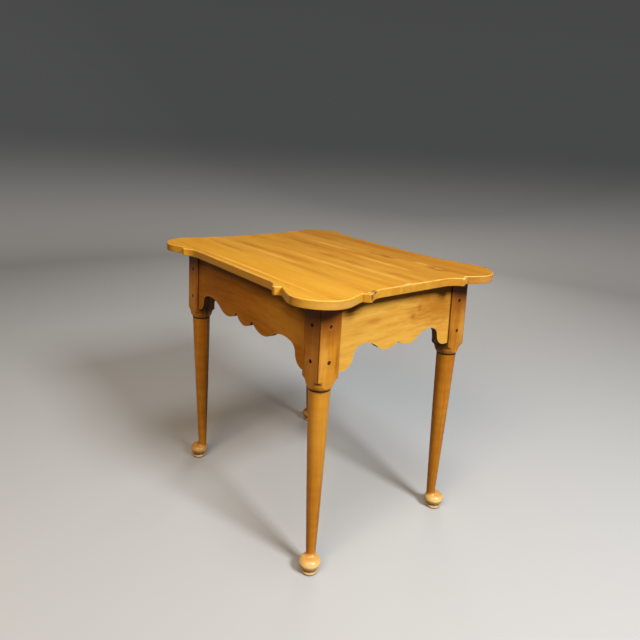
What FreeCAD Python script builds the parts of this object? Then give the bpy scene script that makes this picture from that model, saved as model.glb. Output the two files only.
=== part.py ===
import FreeCAD, Part
import os
import re
import Sketcher

# A splay-legged tavern table with a porringer top: four turned legs, four scalloped aprons
# tenoned and pegged into the leg posts, and five edge-glued boards held down by wooden buttons.
# Millimetres. X runs along the table, Y from front to back, Z up from the floor.

sizes = {
    # Top: outline and thickness
    "table_height": 686,
    "top_length": 743,
    "top_depth": 594,
    "top_thickness": 19,
    "top_arris": 2.5,
    "top_lower_arris": 1.5,
    # Top: one porringer corner, its runs in from the lobe's end and its reaches out from the straight edge
    "lobe_reach": 29.5,
    "lobe_radius": 92,
    "lobe_flank_run": 83,
    "lobe_flank_round": 60,
    "notch_run": 139.5,
    "notch_reach": 5.5,
    "notch_round": 1.5,
    "nub_run": 148,
    "nub_reach": 18,
    "nub_round": 3.5,
    "spur_run": 156.5,
    "spur_reach": 18,
    "spur_round": 3.5,
    "cove_run": 198,
    # Frame: over the posts, at the underside of the top
    "frame_length": 616,
    "frame_depth": 457,
    "leg_lean_angle": 1.55,
    "post_side": 55.5,
    "post_round": 1.2,
    "trim_allowance": 3,
    # Leg: lengths run down from the underside of the top, radii from the turning axis
    "post_length": 173.5,
    "shoulder_radius": 39.3,
    "shoulder_length": 9.5,
    "drum_length": 13.5,
    "drum_radius": 31,
    "drum_foot_radius": 25.6,
    "quirk_length": 5,
    "quirk_radius": 21.2,
    "shaft_radius": 24.4,
    "shaft_middle_radius": 18.4,
    "ankle_radius": 11.2,
    "ankle_height": 34,
    "ankle_offset": 7.2,
    # Foot: heights from the floor
    "foot_base_radius": 17.5,
    "foot_rim_radius": 19.8,
    "foot_rim_height": 5.5,
    "foot_neck_radius": 16.5,
    "foot_neck_height": 10.5,
    "pad_radius": 26.5,
    "pad_height": 27,
    "pad_crown_radius": 12,
    "pad_crown_height": 41,
    "ankle_round": 7,
    # Aprons
    "apron_thickness": 16,
    "apron_setback": 4.5,
    "front_apron_drop": 165,
    "end_apron_drop": 162,
    "shoulder_gap": 0.05,
    "tenon_thickness": 8,
    "tenon_length": 36,
    "tenon_root": 6,
    "tenon_top": 14,
    "tenon_foot": 152,
    "mortise_gap": 0.2,
    # Pegs
    "peg_radius": 4.75,
    "peg_length": 22,
    "peg_crown": 0.4,
    "peg_gap": 0.05,
    "upper_peg_drop": 56,
    "lower_peg_drop": 134,
    # Wooden buttons and their screws
    "button_length": 32,
    "button_width": 28,
    "button_height": 19,
    "button_gap": 1.5,
    "button_chamfer": 2,
    "tongue_length": 7,
    "tongue_thickness": 7,
    "tongue_gap": 0.4,
    "front_button_place": 135,
    "end_button_place": 88,
    "screw_place": 16,
    "screw_radius": 2.1,
    "screw_gap": 0.05,
    "screw_bite": 12,
    "screw_point": 4,
    "screw_hole_radius": 2.4,
    "screw_head_radius": 4.2,
    "screw_head_height": 2.6,
    "screw_slot_width": 0.9,
    "screw_slot_depth": 1.2,
    # One overrun for every cut that runs out into the open
    "overrun": 5,
}

doc = FreeCAD.newDocument("TavernTable")
sheet = doc.addObject("Spreadsheet::Sheet", "Sizes")
for row, (size_name, size) in enumerate(sizes.items(), start=1):
    sheet.set(f"A{row}", size_name)
    sheet.set(f"B{row}", str(size))
    sheet.setAlias(f"B{row}", size_name)
doc.recompute()

# Worked-out lengths, in the sheet's own words
frame_height = "(table_height - top_thickness)"
half_length = "(top_length / 2)"
half_depth = "(top_depth / 2)"
lean_rise = "cos(leg_lean_angle)"
lean_run = "sin(leg_lean_angle)"
leg_length = f"({frame_height} / {lean_rise}^2)"
half_post = "(post_side / 2)"
front_span = "(frame_length / 2 - post_side)"
end_span = "(frame_depth / 2 - post_side)"
front_inner = "(frame_depth / 2 - apron_setback - apron_thickness)"
end_inner = "(frame_length / 2 - apron_setback - apron_thickness)"
tenon_middle = "(apron_setback + apron_thickness / 2)"
screw_inset = "(button_gap + screw_place)"
front_screw_line = f"({front_inner} - {screw_inset})"
end_screw_line = f"({end_inner} - {screw_inset})"
same_place = 0.001
left_right = FreeCAD.Vector(1, 0, 0)
front_back = FreeCAD.Vector(0, 1, 0)
quarter_signs = (("", ""), ("-", ""), ("-", "-"), ("", "-"))


def linked(words):
    """An expression for any object, from one written in the sheet's own words."""
    return re.sub(r"\b[a-z]\w*", lambda word: f"Sizes.{word[0]}" if word[0] in sizes else word[0], words)


def value(words):
    """What the sheet's words come to at present."""
    return float(sheet.evalExpression(words))


def bind(item, **words):
    """Tie an object's properties to the sheet."""
    for name, expression in words.items():
        item.setExpression(name, linked(expression))


def placed(across, back, up, yaw="0", pitch="0", roll="0"):
    """The words of a placement."""
    return f"placement(vector({across}; {back}; {up}); rotation({yaw}; {pitch}; {roll}))"


def origin_plane(body, role):
    """One of a body's own three planes."""
    return next(item for item in body.Origin.OriginFeatures if item.Role == role)


def new_sketch(body, name, role, lift="0"):
    """A sketch on a body's own plane, lifted along that plane's normal."""
    sketch = body.newObject("Sketcher::SketchObject", name)
    sketch.AttachmentSupport = [(origin_plane(body, role), "")]
    sketch.MapMode = "FlatFace"
    sketch.setExpression("AttachmentOffset.Base.z", linked(lift))
    return sketch


def tie(sketch, constraint, words):
    """Add a dimension to a sketch and tie it to the sheet."""
    number = sketch.addConstraint(constraint)
    sketch.setExpression(f"Constraints[{number}]", linked(words))


def tie_point(sketch, edge, end, across, up):
    """Fix a point of a sketch by its distances from the sketch's origin."""
    tie(sketch, Sketcher.Constraint("DistanceX", -1, 1, edge, end, value(across)), across)
    tie(sketch, Sketcher.Constraint("DistanceY", -1, 1, edge, end, value(up)), up)


def draw_outline(sketch, corners):
    """Draw a closed outline through corners in words: (across, up) or (across, up, turn, radius).

    A corner with a radius starts an arc to the next corner, which turns left (1) or right (-1).
    """
    spots = [FreeCAD.Vector(value(corner[0]), value(corner[1]), 0) for corner in corners]
    starts = []
    for number, corner in enumerate(corners):
        start = spots[number]
        end = spots[(number + 1) % len(spots)]
        if len(corner) == 2:
            edge = sketch.addGeometry(Part.LineSegment(start, end))
        else:
            chord = end - start
            radius = value(corner[3])
            swell = radius - (radius ** 2 - chord.Length ** 2 / 4) ** 0.5
            outward = FreeCAD.Vector(chord.y, -chord.x, 0) / chord.Length * corner[2]
            edge = sketch.addGeometry(Part.Arc(start, (start + end) / 2 + outward * swell, end))
        first = min((1, 2), key=lambda side: sketch.getPoint(edge, side).distanceToPoint(start))
        starts.append((edge, first))
    for number, corner in enumerate(corners):
        edge, first = starts[number]
        last_edge, last_first = starts[number - 1]
        sketch.addConstraint(Sketcher.Constraint("Coincident", last_edge, 3 - last_first, edge, first))
        tie_point(sketch, edge, first, corner[0], corner[1])
        if len(corner) == 4:
            tie(sketch, Sketcher.Constraint("Radius", edge, value(corner[3])), corner[3])


def draw_circle(sketch, across, up, radius):
    """Draw a circle by its centre and radius."""
    centre = FreeCAD.Vector(value(across), value(up), 0)
    edge = sketch.addGeometry(Part.Circle(centre, FreeCAD.Vector(0, 0, 1), value(radius)))
    tie_point(sketch, edge, 3, across, up)
    tie(sketch, Sketcher.Constraint("Radius", edge, value(radius)), radius)


def rectangle(left, right, low, high):
    """The four corners of an upright rectangle, in words."""
    return [(left, low), (right, low), (right, high), (left, high)]


def arc_over(start, end, swell_share):
    """An arc between two corners, as a turn and a radius, from its height over its chord."""
    share = abs(swell_share)
    chord = f"sqrt(({end[0]} - ({start[0]}))^2 + ({end[1]} - ({start[1]}))^2)"
    return (1 if swell_share > 0 else -1, f"{chord} * {1 / (8 * share) + share / 2}")


def add_feature(body, kind, name, sketch, turned_round=False, **words):
    """A pad, pocket, revolution or groove made from one sketch."""
    feature = body.newObject(f"PartDesign::{kind}", name)
    feature.Profile = sketch
    if kind in ("Revolution", "Groove"):
        feature.ReferenceAxis = (sketch, ["V_Axis"])
    feature.Reversed = turned_round
    bind(feature, **words)
    return feature


def add_fillet(body, name, base, edges, radius):
    """Round the named edges of a feature."""
    fillet = body.newObject("PartDesign::Fillet", name)
    fillet.Base = (base, edges)
    bind(fillet, Radius=radius)
    doc.recompute()
    return fillet


def upright_edges(shape, places):
    """Names of the upright edges that stand at the given places."""
    names = []
    for number, edge in enumerate(shape.Edges, start=1):
        box = edge.BoundBox
        if max(box.XLength, box.YLength) > same_place:
            continue
        if any(abs(box.XMin - x) + abs(box.YMin - y) < same_place for x, y in places):
            names.append(f"Edge{number}")
    return names


def level_edges(shape, height):
    """Names of the edges that lie level at one height."""
    names = []
    for number, edge in enumerate(shape.Edges, start=1):
        if max(abs(edge.BoundBox.ZMin - height), abs(edge.BoundBox.ZMax - height)) < same_place:
            names.append(f"Edge{number}")
    return names


def mirror_copy(source, label, normal):
    """The same piece on the other side of the table."""
    copy = doc.addObject("Part::Mirroring", label)
    copy.Source = source
    copy.Normal = normal
    return copy


# Top blank: one outline with a rounded lobe, a notch, a nub and a spur at each corner
cove_radius = "((cove_run - spur_run)^2 + spur_reach^2) / (2 * spur_reach)"
corner_points = [
    ("cove_run", "0", None),
    ("spur_run", "spur_reach", "spur_round"),
    ("nub_run", "nub_reach", "nub_round"),
    ("notch_run", "notch_reach", "notch_round"),
    ("lobe_flank_run", "lobe_reach", "lobe_flank_round"),
]
end_side = []
long_side = []
for run, reach, corner_round in corner_points:
    end_side.append((f"({half_length} - lobe_reach + {reach})", f"({half_depth} - {run})", corner_round))
    long_side.append((f"({half_length} - {run})", f"({half_depth} - lobe_reach + {reach})", corner_round))
quarter = end_side + long_side[::-1]
top_corners = []
round_places = {corner_round: [] for run, reach, corner_round in corner_points if corner_round}
for right, back in quarter_signs:
    corners = quarter if right == back else quarter[::-1]
    rounds = [corner_round for across, along, corner_round in corners]
    for (across, along, corner_round), next_round in zip(corners, rounds[1:] + [None]):
        spot = (f"{right}{across}", f"{back}{along}")
        arc = ()
        if corner_round == next_round == "lobe_flank_round":
            arc = (1, "lobe_radius")
        if {corner_round, next_round} == {None, "spur_round"}:
            arc = (-1, cove_radius)
        top_corners.append(spot + arc)
        if corner_round:
            round_places[corner_round].append((value(spot[0]), value(spot[1])))

top_blank = doc.addObject("PartDesign::Body", "TopBlank")
top_sketch = new_sketch(top_blank, "TopOutline", "XY_Plane", frame_height)
draw_outline(top_sketch, top_corners)
top_step = add_feature(top_blank, "Pad", "TopPad", top_sketch, Length="top_thickness")
doc.recompute()
for name, places in round_places.items():
    edges = upright_edges(top_step.Shape, places)
    top_step = add_fillet(top_blank, f"Top_{name}", top_step, edges, name)
upper_edges = level_edges(top_step.Shape, value("table_height"))
top_step = add_fillet(top_blank, "TopArris", top_step, upper_edges, "top_arris")
lower_edges = level_edges(top_step.Shape, value(frame_height))
top_step = add_fillet(top_blank, "TopLowerArris", top_step, lower_edges, "top_lower_arris")
pilot_sketch = new_sketch(top_blank, "PilotHoles", "XY_Plane", frame_height)
for right, back in quarter_signs:
    for across, along in (("front_button_place", front_screw_line), (end_screw_line, "end_button_place")):
        draw_circle(pilot_sketch, f"{right}{across}", f"{back}{along}", "screw_radius + screw_gap")
add_feature(top_blank, "Pocket", "Pilots", pilot_sketch, True, Length="screw_bite + screw_gap")

# Top boards: the blank ripped along X into five boards, front to back
board_names = ("front", "second", "middle", "fourth", "back")
board_width_shares = (0.2475, 0.1818, 0.1751, 0.1734, 0.2222)
nodes = []
board_start = f"-{half_depth}"
for name, width_share in zip(board_names, board_width_shares):
    width = f"{width_share} * top_depth"
    strip = doc.addObject("Part::Box", f"Strip_{name}")
    bind(strip, Length="top_length + 2 * overrun", Width=width, Height="top_thickness + 2 * overrun")
    bind(strip, Placement=placed(f"-{half_length} - overrun", board_start, f"{frame_height} - overrun"))
    board = doc.addObject("Part::Common", f"top_board_{name}")
    board.Base = top_blank
    board.Tool = strip
    nodes.append(board)
    board_start = f"{board_start} + {width}"

# Leg: a square post turned below to a hollow shoulder, a drum, a quirk, a tapering shaft set off its axis
# and a pad foot
leg_turning = doc.addObject("PartDesign::Body", "LegTurning")
drum_start = "(post_length + shoulder_length)"
drum_end = f"({drum_start} + drum_length)"
turned_end = f"({drum_end} + quirk_length)"
post_sketch = new_sketch(leg_turning, "PostSquare", "XY_Plane", "trim_allowance")
draw_outline(post_sketch, rectangle(f"-{half_post}", half_post, f"-{half_post}", half_post))
post = add_feature(leg_turning, "Pad", "Post", post_sketch, True, Length=f"trim_allowance + {turned_end}")
doc.recompute()
post_places = [(value(right + half_post), value(back + half_post)) for right, back in quarter_signs]
add_fillet(leg_turning, "PostRounds", post, upright_edges(post.Shape, post_places), "post_round")

drum_sketch = new_sketch(leg_turning, "DrumProfile", "XZ_Plane")
shoulder_top = ("shoulder_radius", "-post_length")
drum_top = ("drum_radius", f"-{drum_start}")
drum_foot = ("drum_foot_radius", f"-{drum_end}")
drum_swell_share = 0.06
shoulder_swell_share = -0.14
draw_outline(drum_sketch, [
    drum_foot + arc_over(drum_foot, drum_top, drum_swell_share),
    drum_top + arc_over(drum_top, shoulder_top, shoulder_swell_share),
    shoulder_top,
    ("post_side", "-post_length"),
    ("post_side", f"-{turned_end}"),
    ("shaft_radius", f"-{turned_end}"),
    ("quirk_radius", f"-({drum_end} + quirk_length / 2)"),
])
add_feature(leg_turning, "Groove", "Drum", drum_sketch)

shaft_end = f"({leg_length} - ankle_height)"
shaft_sections = [
    ("0", "shaft_radius", turned_end),
    ("ankle_offset / 2", "shaft_middle_radius", f"({turned_end} + {shaft_end}) / 2"),
    ("ankle_offset", "ankle_radius", shaft_end),
]
shaft_sketches = []
for number, (offset, radius, down) in enumerate(shaft_sections):
    section = new_sketch(leg_turning, f"ShaftSection{number}", "XY_Plane", f"-{down}")
    draw_circle(section, f"-({offset})", offset, radius)
    shaft_sketches.append(section)
shaft = leg_turning.newObject("PartDesign::AdditiveLoft", "Shaft")
shaft.Profile = shaft_sketches[0]
shaft.Sections = shaft_sketches[1:]

foot_sketch = new_sketch(leg_turning, "FootProfile", "XZ_Plane")
foot_rim = ("foot_rim_radius", f"foot_rim_height - {leg_length}")
foot_base = ("foot_base_radius", f"-{leg_length}")
foot_neck = ("foot_neck_radius", f"foot_neck_height - {leg_length}")
pad_edge = ("pad_radius", f"pad_height - {leg_length}")
pad_crown = ("pad_crown_radius", f"pad_crown_height - {leg_length}")
rim_swell_share = 0.16
pad_under_swell_share = 0.08
pad_swell_share = 0.2
draw_outline(foot_sketch, [
    ("0", f"-{leg_length} - trim_allowance"),
    ("foot_base_radius", f"-{leg_length} - trim_allowance"),
    foot_base + arc_over(foot_base, foot_rim, rim_swell_share),
    foot_rim,
    foot_neck + arc_over(foot_neck, pad_edge, pad_under_swell_share),
    pad_edge + arc_over(pad_edge, pad_crown, pad_swell_share),
    pad_crown,
    ("0", f"pad_crown_height - {leg_length}"),
])
foot = add_feature(leg_turning, "Revolution", "Foot", foot_sketch)
doc.recompute()
ankle_edges = []
for number, edge in enumerate(foot.Shape.Edges, start=1):
    ring = edge.BoundBox
    above_pad = ring.ZMin > value(f"pad_height - {leg_length}")
    below_ankle = ring.ZMax < value(f"pad_crown_height - {leg_length}") + value("ankle_round")
    if above_pad and below_ankle:
        ankle_edges.append(f"Edge{number}")
add_fillet(leg_turning, "AnkleRound", foot, ankle_edges, "ankle_round")

mortise_depth = "tenon_length + mortise_gap"
mortise_low = "-(tenon_foot + mortise_gap)"
mortise_high = "-(tenon_top - mortise_gap)"
mortise_near = f"({tenon_middle} - tenon_thickness / 2 - mortise_gap - {half_post})"
mortise_far = f"({tenon_middle} + tenon_thickness / 2 + mortise_gap - {half_post})"
front_mortise = new_sketch(leg_turning, "FrontMortise", "YZ_Plane", f"-{half_post}")
draw_outline(front_mortise, rectangle(mortise_near, mortise_far, mortise_low, mortise_high))
add_feature(leg_turning, "Pocket", "FrontMortiseCut", front_mortise, True, Length=mortise_depth)
end_mortise = new_sketch(leg_turning, "EndMortise", "XZ_Plane", f"-{half_post}")
draw_outline(end_mortise, rectangle(f"-{mortise_far}", f"-{mortise_near}", mortise_low, mortise_high))
add_feature(leg_turning, "Pocket", "EndMortiseCut", end_mortise, True, Length=mortise_depth)
for name, role in (("Front", "XZ_Plane"), ("End", "YZ_Plane")):
    peg_holes = new_sketch(leg_turning, f"{name}PegHoles", role, half_post)
    for drop in ("upper_peg_drop", "lower_peg_drop"):
        draw_circle(peg_holes, "0", f"-{drop}", "peg_radius + peg_gap")
    add_feature(leg_turning, "Pocket", f"{name}PegCuts", peg_holes, Length="peg_length + peg_gap")
leg_place = placed(
    f"frame_length / 2 - {half_post}", f"{half_post} - frame_depth / 2", frame_height,
    pitch="-leg_lean_angle", roll="-leg_lean_angle")
bind(leg_turning, Placement=leg_place)

level_room = doc.addObject("Part::Box", "LevelRoom")
room_length = f"(frame_length + {frame_height})"
room_depth = f"(frame_depth + {frame_height})"
bind(level_room, Length=room_length, Width=room_depth, Height=frame_height)
bind(level_room, Placement=placed(f"-{room_length} / 2", f"-{room_depth} / 2", "0"))
leg_front_right = doc.addObject("Part::Common", "leg_front_right")
leg_front_right.Base = leg_turning
leg_front_right.Tool = level_room
leg_front_left = mirror_copy(leg_front_right, "leg_front_left", left_right)
leg_back_right = mirror_copy(leg_front_right, "leg_back_right", front_back)
leg_back_left = mirror_copy(leg_front_left, "leg_back_left", front_back)
nodes += [leg_front_right, leg_front_left, leg_back_right, leg_back_left]


# Aprons: boards that lean with the legs, scalloped below, with a tenon at each end
def along_leg(span, inward, down):
    """Where a point of the leaning post falls in the apron's own plane, in words."""
    across = f"{span} + ({down}) * {lean_run} + ({inward}) * {lean_rise}"
    return across, f"-({down}) * {lean_rise} + ({inward}) * {lean_run}"


def make_apron(label, span, drop, scallop_shares, button_place, place):
    """One apron, drawn as its right half and mirrored; each scallop row is (across, down, swell)."""
    body = doc.addObject("PartDesign::Body", label)
    lower_edge = [(f"{across} * {span}", f"-{down} * {drop}") for across, down, swell in scallop_shares]
    corners = []
    for number, (across, down, swell) in enumerate(scallop_shares[:-1]):
        corners.append(lower_edge[number] + arc_over(lower_edge[number], lower_edge[number + 1], swell))
    corners.append(lower_edge[-1])
    corners.append((f"{span} + tan(leg_lean_angle) * {drop} - shoulder_gap", f"-{drop}"))
    corners.append((f"{span} - shoulder_gap", "0"))
    corners.append(("0", "0"))
    board_sketch = new_sketch(body, f"{label}_board", "XZ_Plane")
    draw_outline(board_sketch, corners)
    board = add_feature(body, "Pad", f"{label}_pad", board_sketch, True, Length="apron_thickness")

    cheek = "(apron_thickness - tenon_thickness) / 2"
    tenon_sketch = new_sketch(body, f"{label}_tenon", "XZ_Plane", f"-{cheek}")
    draw_outline(tenon_sketch, [
        along_leg(span, "-tenon_root", "tenon_foot"),
        along_leg(span, "tenon_length", "tenon_foot"),
        along_leg(span, "tenon_length", "tenon_top"),
        along_leg(span, "-tenon_root", "tenon_top"),
    ])
    tenon = add_feature(body, "Pad", f"{label}_tenon_pad", tenon_sketch, True, Length="tenon_thickness")

    bore_sketch = new_sketch(body, f"{label}_peg_bores", "XZ_Plane")
    for peg_drop in ("upper_peg_drop", "lower_peg_drop"):
        across, up = along_leg(span, half_post, peg_drop)
        draw_circle(bore_sketch, across, up, "peg_radius + mortise_gap")
    bores = add_feature(body, "Pocket", f"{label}_bores", bore_sketch, Length="apron_thickness")

    slot_sketch = new_sketch(body, f"{label}_slot", "XZ_Plane", "-apron_thickness")
    slot_low = f"apron_thickness * {lean_run} - button_height - tongue_gap"
    draw_outline(slot_sketch, rectangle(
        f"{button_place} - button_width / 2 - tongue_gap",
        f"{button_place} + button_width / 2 + tongue_gap",
        slot_low,
        f"{slot_low} + tongue_thickness + 2 * tongue_gap"))
    slot_depth = "tongue_length + tongue_gap"
    slot = add_feature(body, "Pocket", f"{label}_slot_cut", slot_sketch, True, Length=slot_depth)
    mirrored = body.newObject("PartDesign::Mirrored", f"{label}_both_halves")
    mirrored.Originals = [board, tenon, bores, slot]
    mirrored.MirrorPlane = (origin_plane(body, "YZ_Plane"), [""])
    body.Tip = mirrored
    bind(body, Placement=place)
    return body


front_scallop_shares = [
    (0, 0.848, 0.137),
    (0.150, 0.712, 0.186),
    (0.494, 0.770, -0.112),
    (0.811, 0.703, -0.151),
    (0.878, 0.830, 0.159),
    (0.973, 1, 0),
]
end_scallop_shares = [
    (0, 0.771, 0.185),
    (0.375, 0.774, -0.140),
    (0.693, 0.706, -0.148),
    (0.779, 0.830, 0.172),
    (0.924, 1, 0),
]
apron_front = make_apron(
    "apron_front", front_span, "front_apron_drop", front_scallop_shares, "front_button_place",
    placed("0", "apron_setback - frame_depth / 2", frame_height, roll="-leg_lean_angle"))
apron_right = make_apron(
    "apron_right", end_span, "end_apron_drop", end_scallop_shares, "end_button_place",
    placed("frame_length / 2 - apron_setback", "0", frame_height, yaw="90", roll="-leg_lean_angle"))
nodes += [apron_front, mirror_copy(apron_front, "apron_back", front_back)]
nodes += [apron_right, mirror_copy(apron_right, "apron_left", left_right)]


# Pegs: two through each tenon, driven in from the middle of the post's face
def make_peg(label, place):
    """One peg along its own Z, with a low crown standing on the post's face."""
    body = doc.addObject("PartDesign::Body", label)
    profile = new_sketch(body, f"{label}_profile", "XZ_Plane")
    draw_outline(profile, [
        ("0", "-peg_length"),
        ("peg_radius", "-peg_length"),
        ("peg_radius", "0", 1, "(peg_radius^2 + peg_crown^2) / (2 * peg_crown)"),
        ("0", "peg_crown"),
    ])
    add_feature(body, "Revolution", f"{label}_turning", profile)
    bind(body, Placement=f"LegTurning.Placement * {place}")
    return body


for level in ("upper", "lower"):
    peg_drop = f"{level}_peg_drop"
    front_place = placed("0", f"-{half_post}", f"-{peg_drop}", roll="90")
    front_peg = make_peg(f"peg_front_right_{level}", front_place)
    end_peg = make_peg(f"peg_right_front_{level}", placed(half_post, "0", f"-{peg_drop}", pitch="90"))
    front_peg_left = mirror_copy(front_peg, f"peg_front_left_{level}", left_right)
    end_peg_left = mirror_copy(end_peg, f"peg_left_front_{level}", left_right)
    nodes += [front_peg, end_peg, front_peg_left, end_peg_left]
    nodes.append(mirror_copy(front_peg, f"peg_back_right_{level}", front_back))
    nodes.append(mirror_copy(front_peg_left, f"peg_back_left_{level}", front_back))
    nodes.append(mirror_copy(end_peg, f"peg_right_back_{level}", front_back))
    nodes.append(mirror_copy(end_peg_left, f"peg_left_back_{level}", front_back))


# Buttons: wooden blocks screwed up into the top, each with a tongue in an apron's slot
def make_button(label, place):
    """One button: Y runs inward from the apron's inner face, Z up to the underside of the top."""
    body = doc.addObject("PartDesign::Body", label)
    profile = new_sketch(body, f"{label}_profile", "YZ_Plane", "-button_width / 2")
    heel = "button_gap + button_length"
    draw_outline(profile, [
        ("-tongue_length", "-button_height"),
        (f"{heel} - button_chamfer", "-button_height"),
        (heel, "button_chamfer - button_height"),
        (heel, "0"),
        ("button_gap", "0"),
        ("button_gap", "tongue_thickness - button_height"),
        ("-tongue_length", "tongue_thickness - button_height"),
    ])
    add_feature(body, "Pad", f"{label}_pad", profile, Length="button_width")
    hole = new_sketch(body, f"{label}_hole", "XY_Plane")
    draw_circle(hole, "0", screw_inset, "screw_hole_radius")
    add_feature(body, "Pocket", f"{label}_bore", hole, Length="button_height + overrun")
    bind(body, Placement=place)
    return body


def make_screw(label, button):
    """One round-headed wood screw: Z runs up from the button's underside into the top."""
    body = doc.addObject("PartDesign::Body", label)
    profile = new_sketch(body, f"{label}_profile", "XZ_Plane")
    dome_radius = "(screw_head_radius^2 + screw_head_height^2) / (2 * screw_head_height)"
    draw_outline(profile, [
        ("0", "-screw_head_height", 1, dome_radius),
        ("screw_head_radius", "0"),
        ("screw_radius", "0"),
        ("screw_radius", "button_height + screw_bite - screw_point"),
        ("0", "button_height + screw_bite"),
    ])
    add_feature(body, "Revolution", f"{label}_turning", profile)
    slot = new_sketch(body, f"{label}_slot", "XY_Plane", "-screw_head_height")
    half_slot = "(screw_slot_width / 2)"
    half_head = "(screw_head_radius + overrun)"
    draw_outline(slot, rectangle(f"-{half_head}", half_head, f"-{half_slot}", half_slot))
    add_feature(body, "Pocket", f"{label}_slot_cut", slot, True, Length="screw_slot_depth")
    bind(body, Placement=f"{button.Name}.Placement * {placed('0', screw_inset, '-button_height')}")
    return body


button_places = {
    "front_right": placed("front_button_place", f"-{front_inner}", frame_height),
    "right_front": placed(end_inner, "-end_button_place", frame_height, yaw="90"),
}
for name, place in button_places.items():
    button = make_button(f"button_{name}", place)
    screw = make_screw(f"screw_{name}", button)
    for piece, kind in ((button, "button"), (screw, "screw")):
        across = mirror_copy(piece, f"{kind}_{name.replace('right', 'left')}", left_right)
        behind = mirror_copy(piece, f"{kind}_{name.replace('front', 'back')}", front_back)
        opposite_name = name.replace("right", "left").replace("front", "back")
        opposite = mirror_copy(across, f"{kind}_{opposite_name}", front_back)
        nodes += [piece, across, behind, opposite]

# Check every object, then write one file for each piece
doc.recompute()
for item in doc.Objects:
    if "Invalid" in item.State or "Error" in item.State:
        raise RuntimeError(f"{item.Name} failed: {item.State}")
for node in nodes:
    if node.Shape.isNull() or not node.Shape.isValid():
        raise RuntimeError(f"{node.Label} has no valid shape")
os.makedirs("parts", exist_ok=True)
for node in nodes:
    node.Shape.exportStep(f"parts/{node.Label}.step")
    print(node.Label, len(node.Shape.Solids), round(node.Shape.Volume))
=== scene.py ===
import math

import bmesh
import bpy
from mathutils import Matrix, Vector


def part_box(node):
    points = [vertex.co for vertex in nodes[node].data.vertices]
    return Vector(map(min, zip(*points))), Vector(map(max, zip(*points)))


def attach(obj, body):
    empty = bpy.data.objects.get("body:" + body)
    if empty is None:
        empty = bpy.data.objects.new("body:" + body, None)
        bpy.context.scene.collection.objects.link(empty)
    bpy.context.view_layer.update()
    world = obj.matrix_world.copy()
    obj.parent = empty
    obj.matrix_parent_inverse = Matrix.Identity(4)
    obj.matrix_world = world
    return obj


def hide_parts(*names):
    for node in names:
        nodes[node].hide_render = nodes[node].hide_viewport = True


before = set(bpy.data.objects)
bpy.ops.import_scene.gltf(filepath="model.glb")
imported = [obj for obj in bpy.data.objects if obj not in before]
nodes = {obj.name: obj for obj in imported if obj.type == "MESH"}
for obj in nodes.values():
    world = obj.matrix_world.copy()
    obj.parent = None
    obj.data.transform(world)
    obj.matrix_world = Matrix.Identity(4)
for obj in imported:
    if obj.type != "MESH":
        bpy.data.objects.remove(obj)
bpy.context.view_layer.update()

# Legs: four hardwood posts, left square above and turned below to a drum, a tapering shaft and a pad foot.
# Each was turned between two pairs of centres, so its shaft runs off the post's own axis.
# The wood was stained to honey and finished with a satin varnish; its hollows and the places under its
# ledges are darkened with painted shade.
leg_colours = {
    "leg_front_right": ("#DA982C", "#C8801E", "#9A5812"),
    "leg_front_left": ("#E8A434", "#D88C24", "#AA6218"),
    "leg_back_right": ("#D08E28", "#BE781A", "#905210"),
    "leg_back_left": ("#DA982C", "#C8801E", "#9A5812"),
}
# Dark brown of the glue lines and of the line on the post corners, and of the painted shade in the hollows,
# the quirks, the necks and under the posts' square corners
glaze_and_shade = "#2A1206"
# Pale of the arrises: partly wear, partly a painted highlight
worn_and_highlight_honey = "#F2C878"
shadow_brown = "#55260A"
# Painted shade on the inner faces of the posts
inner_shade_brown = "#3A1806"
# Painted shade on the upper part of each post
post_shade_brown = "#8A4A10"
# Painted light on the lower part of the end face, by the outer corner
lit_end_honey = "#F0BC5C"
# Painted light on the lower part of the front face
lit_lower_honey = "#E8AC48"
shaft_honey = "#F0B444"
# Paler pads: partly worn wood, partly a painted highlight
pad_honey_and_highlight = "#FFDC8C"
# Painted highlight on the ring under each foot
ring_highlight = "#FFE0B0"
# How deep the painted shade in the hollows goes
hollow_shade_depth = 0.9
grain_strength = 0.10
grain_relief = 0.0004
varnish_roughness = 0.20
foot_roughness = 0.36
foot_varnish_ior = 1.8
foot_shine = (0.060, 0.030)
post_corner = (0.3080, 0.2285, 0)
post_splay = 0.02706
post_top = 0.667
post_foot = 0.492
leg_seed = 3.0
leg_ring_width = 0.006
leg_wander = 0.012
leg_heart_side = 0.060
leg_bands = (5.0, 75.0, 75.0)
grain_up = (0, math.radians(90), 0)


def tint(code):
    """A colour written as a screen code, in the linear values that a socket takes."""
    channels = [int(code[place:place + 2], 16) / 255 for place in (1, 3, 5)]
    return [c / 12.92 if c <= 0.04045 else ((c + 0.055) / 1.055) ** 2.4 for c in channels] + [1.0]


def add_node(tree, kind, inputs=(), **settings):
    """One node of a tree, with its settings, its values and its incoming links."""
    node = tree.nodes.new(kind)
    for name, setting in settings.items():
        setattr(node, name, setting)
    for socket, value in dict(inputs).items():
        if isinstance(value, bpy.types.NodeSocket):
            tree.links.new(value, node.inputs[socket])
        else:
            node.inputs[socket].default_value = value
    return node


def calc(tree, operation, *values):
    """The result of one Math node."""
    return add_node(tree, "ShaderNodeMath", enumerate(values), operation=operation).outputs[0]


def calc_vector(tree, operation, *values):
    """The vector that one Vector Math node gives."""
    return add_node(tree, "ShaderNodeVectorMath", enumerate(values), operation=operation).outputs[0]


def eased(tree, value, low, high, start=0.0, end=1.0):
    """A value carried smoothly from one range to another."""
    inputs = enumerate((value, low, high, start, end))
    return add_node(tree, "ShaderNodeMapRange", inputs, interpolation_type="SMOOTHSTEP").outputs[0]


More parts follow.
